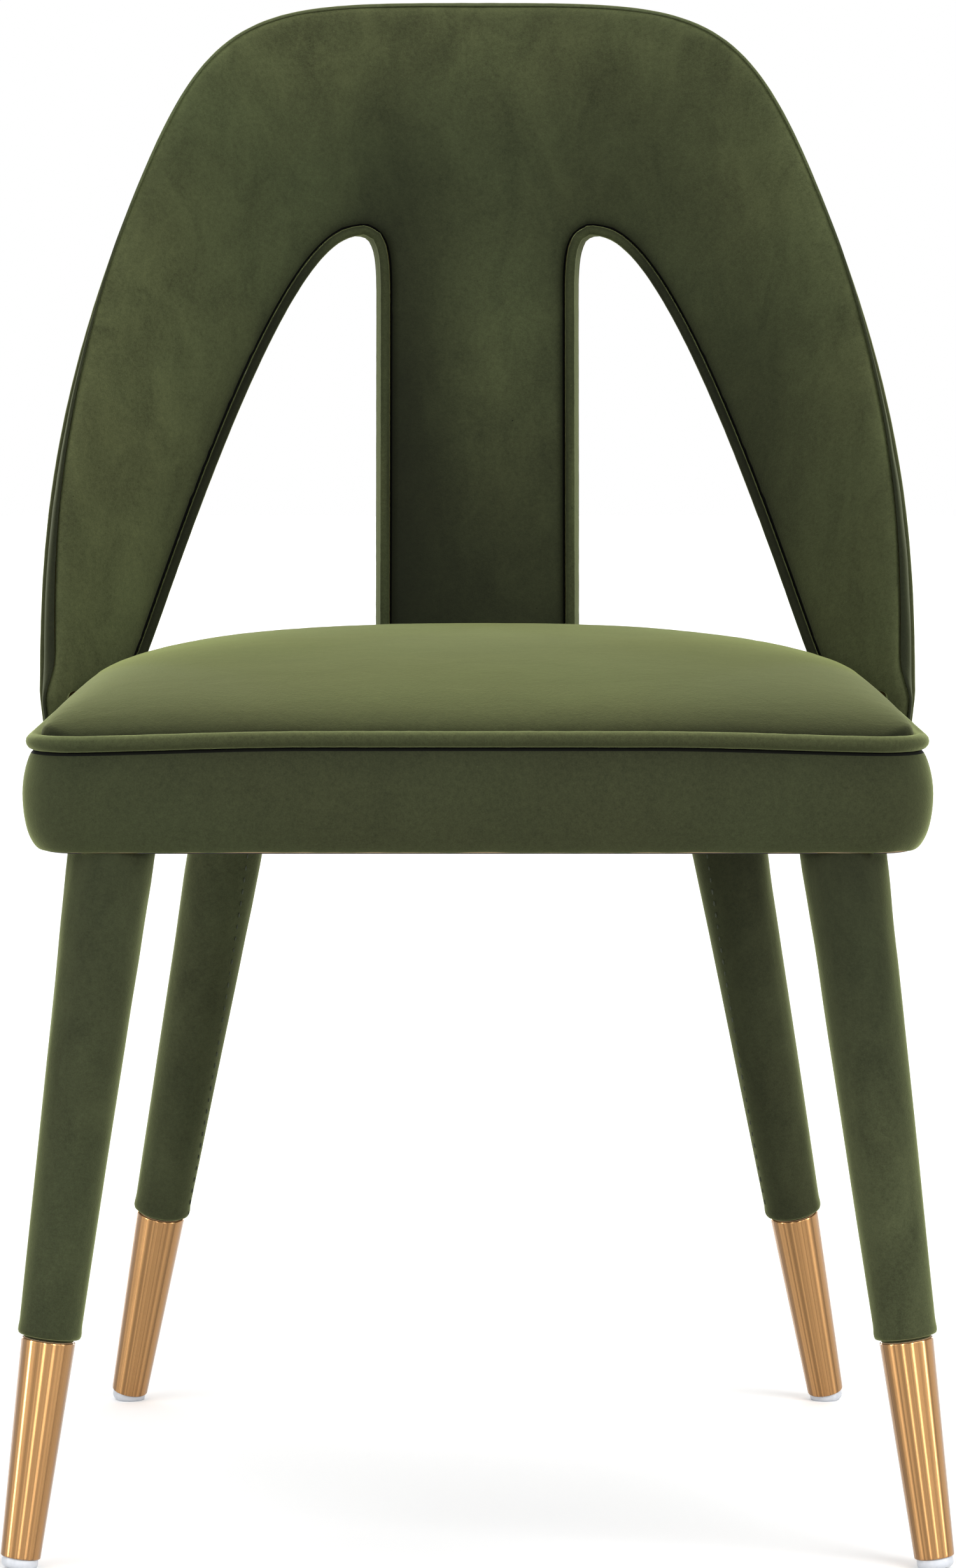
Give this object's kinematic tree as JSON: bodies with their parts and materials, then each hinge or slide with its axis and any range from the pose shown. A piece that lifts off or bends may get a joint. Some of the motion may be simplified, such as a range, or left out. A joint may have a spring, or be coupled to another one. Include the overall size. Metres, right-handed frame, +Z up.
{
  "type": "dining chair",
  "caption": "Velvet dining chair with an arched barrel back, two keyhole openings beside a central splat, a piped seat and splayed tapered legs in metal ferrules.",
  "frame": {"origin": "on the floor, in the middle of the chair's overall width and depth", "axes": "+Z up, -Y the way the sitter faces, +X to the right as the chair is seen from the front"},
  "size_m": [0.5114, 0.5498, 0.8487],
  "materials": {
    "velvet": "short-pile velvet with a soft directional sheen",
    "leg_velvet": "the same velvet, glued round the legs",
    "piping_velvet": "the same velvet, wrapped round a cord",
    "ferrule_metal": "satin, pale rose gold",
    "glide_plastic": "matt",
    "beech": "planed, unfinished",
    "plywood": "moulded, unfinished",
    "foam": "open-cell upholstery foam",
    "wadding": "thin polyester wadding",
    "webbing": "woven elastic webbing",
    "dust_cloth": "black non-woven cloth",
    "steel": "zinc-plated"
  },
  "bodies": {
    "root": {"seat_front_rail": "beech", "seat_rear_rail": "beech", "seat_left_rail": "beech", "seat_right_rail": "beech", "seat_corner_blocks": "beech", "seat_block_screws": "steel", "seat_webbing": "webbing", "seat_foam": "foam", "seat_top_cover": "velvet", "seat_side_band": "velvet", "seat_piping": "piping_velvet", "seat_dust_cover": "dust_cloth", "dust_cover_staples": "steel", "back_shell": "plywood", "back_face_foam": "foam", "back_face_cover": "velvet", "back_rear_wadding": "wadding", "back_rear_cover": "velvet", "back_edge_border": "velvet", "back_edge_piping": "piping_velvet", "left_slot_border": "velvet", "right_slot_border": "velvet", "left_slot_piping": "piping_velvet", "right_slot_piping": "piping_velvet", "left_slot_rear_piping": "piping_velvet", "right_slot_rear_piping": "piping_velvet", "back_bolts": "steel", "back_bolt_nuts": "steel", "back_screws": "steel", "front_left_leg_core": "beech", "front_left_leg_sleeve": "leg_velvet", "front_left_ferrule": "ferrule_metal", "front_left_glide": "glide_plastic", "front_right_leg_core": "beech", "front_right_leg_sleeve": "leg_velvet", "front_right_ferrule": "ferrule_metal", "front_right_glide": "glide_plastic", "rear_left_leg_core": "beech", "rear_left_leg_sleeve": "leg_velvet", "rear_left_ferrule": "ferrule_metal", "rear_left_glide": "glide_plastic", "rear_right_leg_core": "beech", "rear_right_leg_sleeve": "leg_velvet", "rear_right_ferrule": "ferrule_metal", "rear_right_glide": "glide_plastic", "leg_bolts": "steel", "leg_bolt_washers": "steel", "leg_bolt_nuts": "steel", "glide_nails": "steel"}
  },
  "joints": []
}
